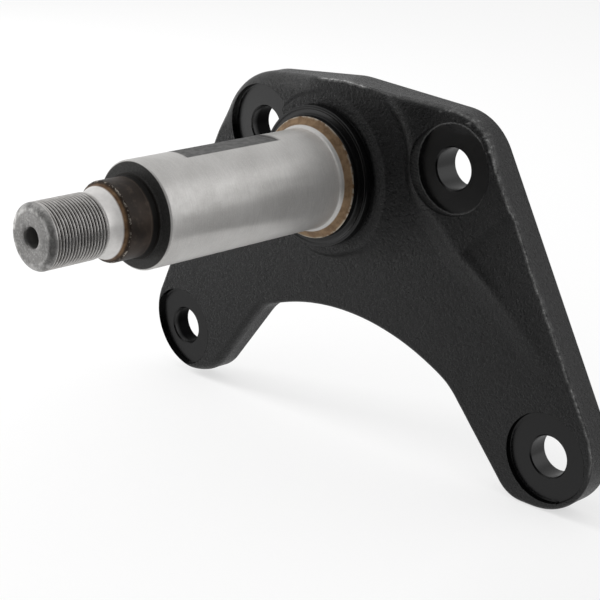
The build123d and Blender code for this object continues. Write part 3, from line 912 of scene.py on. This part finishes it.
def shaft_steel():
    """Bare steel by zones down the shaft: bronze-brown collar, bright root ring, ground
    journal, milled flat, dark shoulder, browned neck with the painted shade and painted
    highlight of a groove by the shoulder, bright flare, thread with painted shade in its
    roots, and end face."""
    m = Tree(bpy.data.materials.new("ground_steel"))
    place = m.node("ShaderNodeTexCoord", output=3)
    parts = m.tree.nodes.new("ShaderNodeSeparateXYZ")
    m.link(parts.inputs[0], place)
    along = m.math("MULTIPLY", parts.outputs[1], -1000.0)
    across = m.node(
        "ShaderNodeVectorMath", {"operation": "LENGTH"},
        {0: m.stretch(place, (1000.0, 0.0, 1000.0))}, output=1,
    )
    milled, root = m.attribute("milled"), m.attribute("root")
    speck = m.noise(place, 1100.0, 2.0, 0.6)
    mottle = m.noise(place, 240.0, 4.0, 0.62)
    cloud = m.noise(place, 45.0, 3.0)
    brush = m.noise(m.stretch(place, (120.0, 2600.0, 120.0)), 1.0, 3.0, 0.6)
    colour = m.colour(m.spread(cloud, 0.3, 0.7), (0.66, 0.645, 0.625), (0.77, 0.755, 0.735))
    colour = m.colour(m.spread(brush, 0.35, 0.68, 0.0, 0.30), colour, (0.50, 0.49, 0.475))
    colour = m.colour(m.spread(speck, 0.45, 0.75, 0.0, 0.4), colour, (0.84, 0.83, 0.81))
    rough = m.spread(mottle, 0.3, 0.7, 0.30, 0.38)
    metal = 0.62

    def zone(share, tone, roughness, metallic=None):
        nonlocal colour, rough, metal
        colour = m.colour(share, colour, tone)
        rough = m.blend(share, rough, roughness)
        if metallic is not None:
            metal = m.blend(share, metal, metallic)

    # Milled flat
    flat_tone = m.colour(m.spread(mottle, 0.38, 0.62), (0.085, 0.085, 0.085), (0.17, 0.168, 0.165))
    zone(m.math("MULTIPLY", milled, 0.95), flat_tone, 0.55)
    # Bright root ring beside the collar
    ring = m.between(along, 37.2, 37.9, 0.3)
    white = m.colour(m.spread(mottle, 0.35, 0.65), (0.72, 0.71, 0.69), (0.84, 0.83, 0.81))
    zone(m.math("MULTIPLY", ring, 0.5), white, 0.5, 0.92)
    # Collar cone
    cone = m.spread(along, 36.6, 37.2, 1.0, 0.0)
    bronze = m.colour(m.spread(mottle, 0.30, 0.72), (0.20, 0.125, 0.070), (0.34, 0.23, 0.135))
    bronze = m.colour(m.spread(speck, 0.58, 0.75, 0.0, 0.5), bronze, (0.34, 0.25, 0.17))
    zone(cone, bronze, 0.48, 0.65)
    rim = m.math("MULTIPLY", m.spread(along, 34.0, 34.4, 1.0, 0.0), m.spread(mottle, 0.42, 0.52))
    zone(rim, (0.62, 0.56, 0.47), 0.4, 0.9)
    # Shoulder face and the ring at the neck's root
    past = m.spread(along, 167.2, 167.4)
    face = m.math("MULTIPLY", past, m.spread(across, 28.9, 29.4, 1.0, 0.0))
    shoulder = m.colour(m.spread(speck, 0.3, 0.7), (0.045, 0.044, 0.042), (0.070, 0.068, 0.066))
    zone(face, shoulder, 0.5, 0.6)
    # Browned neck with rubbed front edge
    neck = m.between(along, 169.6, 190.2, 0.15)
    browned = m.colour(m.spread(cloud, 0.35, 0.65), (0.028, 0.021, 0.017), (0.060, 0.043, 0.033))
    browned = m.colour(m.spread(mottle, 0.5, 0.72, 0.0, 0.5), browned, (0.10, 0.075, 0.058))
    zone(neck, browned, 0.42, 0.55)
    # Painted shade: a dark band by the shoulder stands for the shade of a groove there
    zone(m.between(along, 169.4, 173.2, 0.5), (0.012, 0.011, 0.010), 0.5)
    # Painted highlight: a thin light line stands for the lit edge of that groove
    zone(m.math("MULTIPLY", m.between(along, 173.9, 174.3, 0.3), 0.6), (0.10, 0.08, 0.068), 0.4)
    broken = m.spread(m.noise(place, 620.0, 3.0), 0.50, 0.62, 0.0, 0.8)
    chips = m.math("MULTIPLY", m.between(along, 187.6, 188.25, 0.25), broken)
    zone(chips, (0.60, 0.55, 0.48), 0.4, 0.9)
    band = m.between(along, 188.7, 192.4, 0.6)
    brown = m.colour(m.spread(mottle, 0.35, 0.65), (0.13, 0.070, 0.035), (0.26, 0.16, 0.085))
    zone(m.math("MULTIPLY", band, 0.85), brown, 0.5, 0.6)
    # Flare and thread
    flare = m.spread(along, 190.2, 191.4)
    bright = m.colour(m.spread(mottle, 0.3, 0.7), (0.88, 0.86, 0.84), (0.97, 0.95, 0.93))
    zone(flare, bright, 0.40, 0.6)
    thread = m.spread(along, 198.2, 199.6)
    crest = m.colour(m.spread(mottle, 0.3, 0.7), (0.62, 0.60, 0.58), (0.84, 0.82, 0.80))
    zone(thread, crest, 0.40, 0.85)
    # Painted shade: the thread's roots are darkened to near black
    zone(m.spread(root, 0.25, 0.75), (0.016, 0.015, 0.014), 0.6, 0.7)
    # End face, its rubbed rim and the centre hole
    end = m.spread(along, 231.7, 232.1)
    face_tone = m.colour(m.spread(mottle, 0.2, 0.8), (0.28, 0.275, 0.268), (0.40, 0.39, 0.38))
    face_tone = m.colour(m.spread(speck, 0.45, 0.7, 0.0, 0.5), face_tone, (0.72, 0.71, 0.70))
    zone(end, face_tone, 0.42)
    lightened = m.math("MULTIPLY", m.spread(along, 231.5, 232.2), m.between(across, 13.6, 17.8, 0.8))
    zone(m.math("MULTIPLY", lightened, m.spread(mottle, 0.36, 0.66, 0.0, 0.8)), (0.78, 0.77, 0.75), 0.36)
    bore = m.math("MULTIPLY", m.spread(across, 5.3, 5.7, 1.0, 0.0), m.spread(along, 200.0, 201.0))
    zone(bore, (0.24, 0.235, 0.23), 0.5)
    lines = m.bump(brush, 0.12, 0.00012)
    normal = m.bump(mottle, m.spread(along, 165.0, 170.0, 0.05, 0.22), 0.0003, lines)
    tangent = m.node("ShaderNodeTangent", {"direction_type": "RADIAL", "axis": "Y"})
    m.shader.inputs["Anisotropic"].default_value = 0.7
    m.shader.inputs["Anisotropic Rotation"].default_value = 0.25
    return m.finish(
        Base_Color=colour, Roughness=rough, Metallic=metal, Normal=normal, Tangent=tangent
    )


# ---- Build the pieces ----
def dress(shell, name, material, sharp):
    """Builds the mesh of a shell and gives it its material and body."""
    piece = shell.build(name, sharp)
    piece.data.materials.append(material)
    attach(piece, "root")
    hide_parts("bracket")


dress(make_plate(), "plate_and_hub", black_paint(), 38.0)
dress(make_shaft(), "stub_shaft", shaft_steel(), 40.0)


# ---- Stage ----
# Level heading from the object towards the camera's side of the studio
TO_CAMERA_SIDE = (0.5, -0.87, 0.0)


def ray_share(m, *rays):
    """1 for the named kinds of ray, else 0."""
    path = m.tree.nodes.new("ShaderNodeLightPath").outputs
    total = path[rays[0]]
    for ray in rays[1:]:
        total = m.math("MAXIMUM", total, path[ray])
    return total


def studio_side(m, place, heading, low, high, near, far):
    """Brightness that mirror rays meet, going from near to far as their direction or place
    turns towards a heading of the studio."""
    aim = m.node(
        "ShaderNodeVectorMath", {"operation": "DOT_PRODUCT"}, {0: place, 1: heading}, output=1
    )
    return m.spread(aim, low, high, near, far)


def set_world():
    """White where it is seen and a soft grey fill for the light it casts. Mirror rays meet a
    dark studio on the camera's side, a brighter one behind, and a soft glow at the right."""
    world = bpy.data.worlds.new("studio")
    bpy.context.scene.world = world
    m = Tree(world)
    heading = m.node("ShaderNodeTexCoord")
    sides = studio_side(m, heading, TO_CAMERA_SIDE, 0.26, 0.54, 0.56, 0.03)
    glow = studio_side(m, heading, (0.65, 0.69, 0.32), 0.78, 1.0, 0.0, 0.46)
    level = m.blend(ray_share(m, "Is Glossy Ray"), 0.75, m.math("ADD", sides, glow))
    level = m.blend(ray_share(m, "Is Camera Ray", "Is Transmission Ray"), level, 1.0)
    background = m.tree.nodes["Background"]
    background.inputs["Color"].default_value = (1.0, 1.0, 1.0, 1.0)
    m.link(background.inputs["Strength"], level)


def set_floor():
    """Pale floor that looks near white and keeps the object's soft shadow. Mirror rays meet
    a darker floor towards the camera and a brighter one at the left."""
    half, level = 3.0, FLOOR_Z * MM
    corners = [(-half, -half), (half, -half), (half, half), (-half, half)]
    mesh = bpy.data.meshes.new("floor")
    mesh.from_pydata([(x, y, level) for x, y in corners], [], [(0, 1, 2, 3)])
    mesh.update()
    floor = bpy.data.objects.new("floor", mesh)
    bpy.context.scene.collection.objects.link(floor)
    m = Tree(bpy.data.materials.new("floor"))
    mesh.materials.append(m.finish(Base_Color=(0.86, 0.86, 0.86), Roughness=0.9))
    place = m.node("ShaderNodeTexCoord", output=3)
    near = studio_side(m, place, TO_CAMERA_SIDE, 0.205, 0.335, 0.56, 0.0)
    left = studio_side(m, place, (-1.0, 0.0, 0.0), 0.34, 0.46, 0.0, 0.9)
    seen = m.math("MULTIPLY", ray_share(m, "Is Camera Ray", "Is Transmission Ray"), 0.56)
    mirrored, shader = m.math("ADD", near, left), m.shader.outputs[0]
    for share, strength in ((seen, 1.1), (ray_share(m, "Is Glossy Ray"), mirrored)):
        glow = m.node("ShaderNodeEmission", {}, {"Strength": strength})
        shader = m.node("ShaderNodeMixShader", {}, {0: share, 1: shader, 2: glow})
    m.link(m.tree.nodes["Material Output"].inputs["Surface"], shader)


def set_lamp(place, aim, size, power):
    """A square soft lamp at a place, aimed at a point, without a mirror image of its own."""
    light = bpy.data.lights.new("key", "AREA")
    light.shape = "RECTANGLE"
    light.size = light.size_y = size
    light.energy = power
    lamp = bpy.data.objects.new("key", light)
    bpy.context.scene.collection.objects.link(lamp)
    direction = Vector(aim) - Vector(place)
    lamp.location = place
    lamp.rotation_euler = direction.to_track_quat("-Z", "Y").to_euler()
    lamp.visible_glossy = False


def set_camera():
    """Camera of the photograph: place, turn and roll."""
    place, lens, sensor = (0.62878, -0.69567, 0.21962), 95.16, 36.0
    azimuth, elevation, roll = radians(43.721), radians(17.946), radians(-1.530)
    back = Vector((sin(azimuth) * cos(elevation), -cos(azimuth) * cos(elevation), sin(elevation)))
    forward = -back
    right = forward.cross(Vector((0, 0, 1))).normalized()
    down = forward.cross(right)
    c, s = cos(roll), sin(roll)
    across = c * right + s * down
    below = -s * right + c * down
    camera_data = bpy.data.cameras.new("camera")
    camera_data.lens = lens
    camera_data.sensor_width = sensor
    camera = bpy.data.objects.new("camera", camera_data)
    bpy.context.scene.collection.objects.link(camera)
    turn = Matrix((across, -below, back)).transposed().to_4x4()
    camera.matrix_world = Matrix.Translation(place) @ turn
    bpy.context.scene.camera = camera


set_world()
set_floor()
set_camera()
set_lamp((-1.7, -0.35, 0.75), (0.0, -0.08, 0.0), 0.7, 25.0)
bpy.context.scene.view_settings.view_transform = "Standard"
